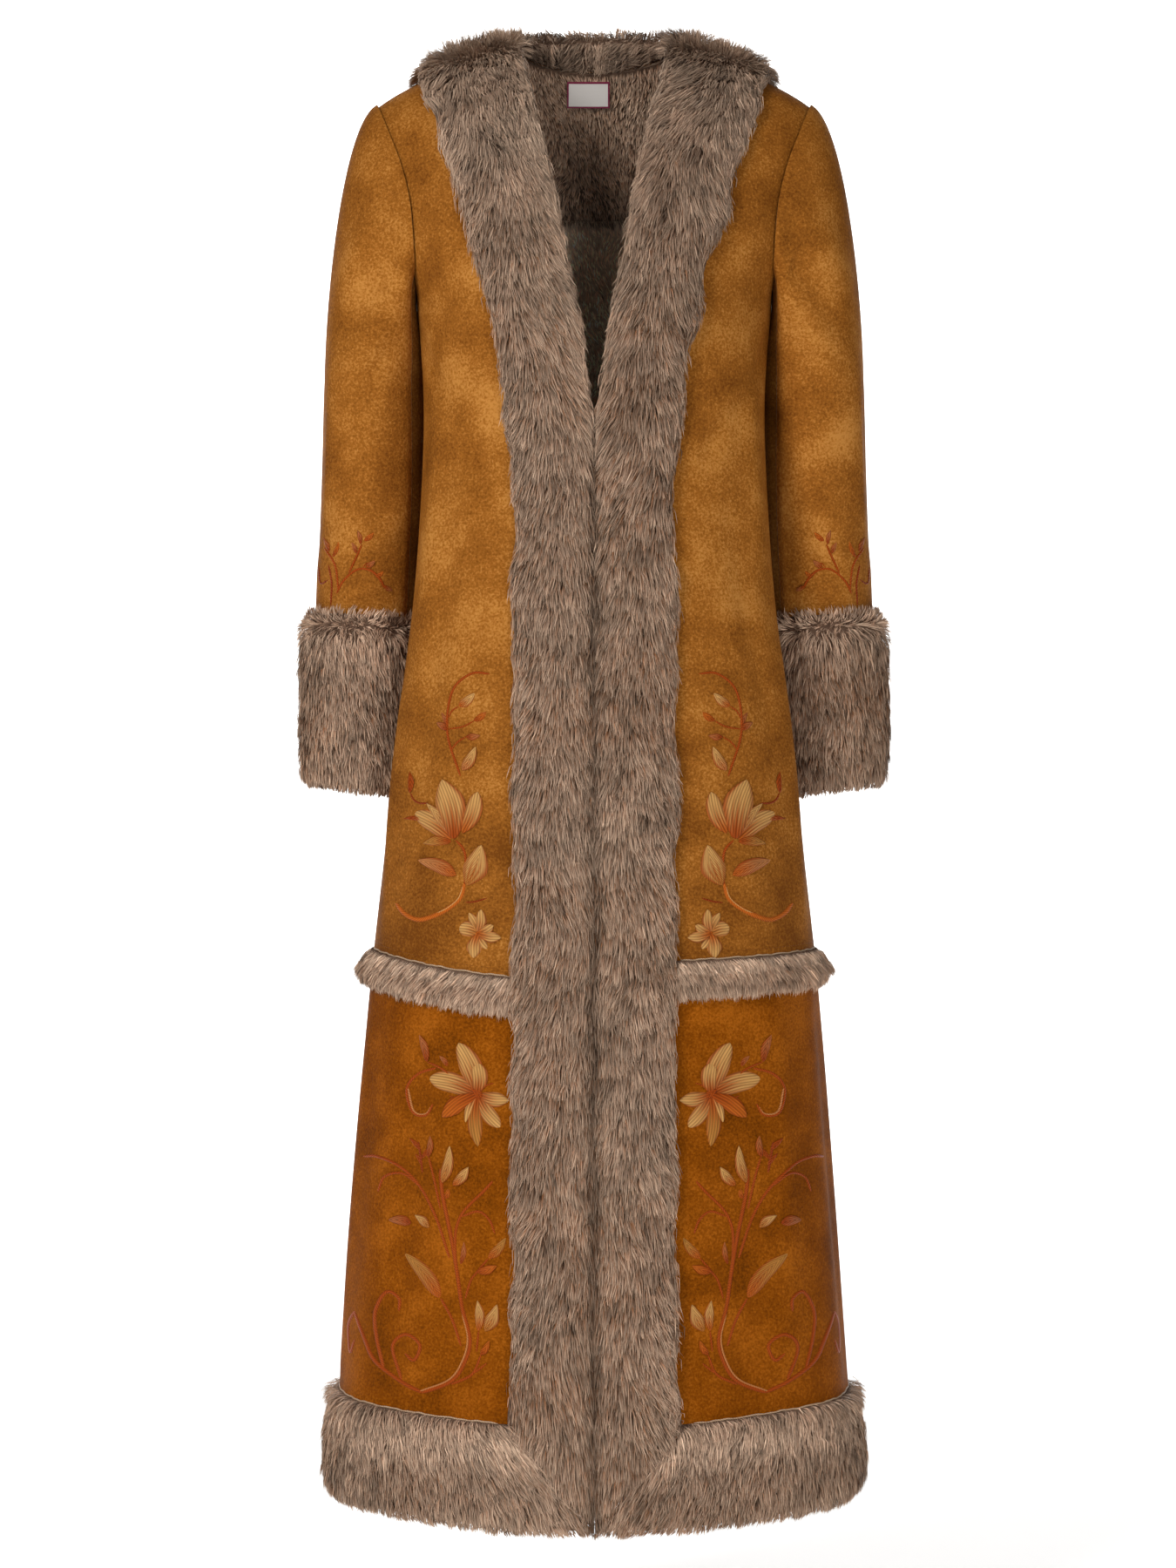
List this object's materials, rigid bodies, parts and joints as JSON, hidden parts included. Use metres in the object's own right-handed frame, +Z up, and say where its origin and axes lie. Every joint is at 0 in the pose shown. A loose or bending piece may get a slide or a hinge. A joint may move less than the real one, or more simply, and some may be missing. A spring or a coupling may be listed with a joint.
{
  "type": "embroidered coat",
  "caption": "Long open-front suede coat with a fur shawl collar, front bands, cuffs, knee strip and hem band, filled out as when worn and hollow.",
  "frame": {"origin": "middle of the neck at the height of the side neck points, where the shoulders carry the coat", "axes": "+Z up, front towards -Y, the wearer's left towards +X"},
  "size_m": [0.556, 0.4054, 1.3604],
  "materials": {
    "suede": "matte nap",
    "fur": "long pile",
    "lining": "short pile",
    "label": "satin weave"
  },
  "bodies": {
    "root": {"front_upper_left": "suede", "front_upper_right": "suede", "back_upper": "suede", "front_lower_left": "suede", "front_lower_right": "suede", "back_lower": "suede", "sleeve_top_left": "suede", "sleeve_top_right": "suede", "sleeve_under_left": "suede", "sleeve_under_right": "suede", "cuff_left": "fur", "cuff_right": "fur", "front_band_left": "fur", "front_band_right": "fur", "collar_back": "fur", "tier_strip_left": "fur", "tier_strip_right": "fur", "tier_strip_back": "fur", "hem_band_left": "fur", "hem_band_right": "fur", "hem_band_back": "fur", "lining_yoke": "lining", "lining_back": "lining", "label": "label"}
  },
  "joints": []
}
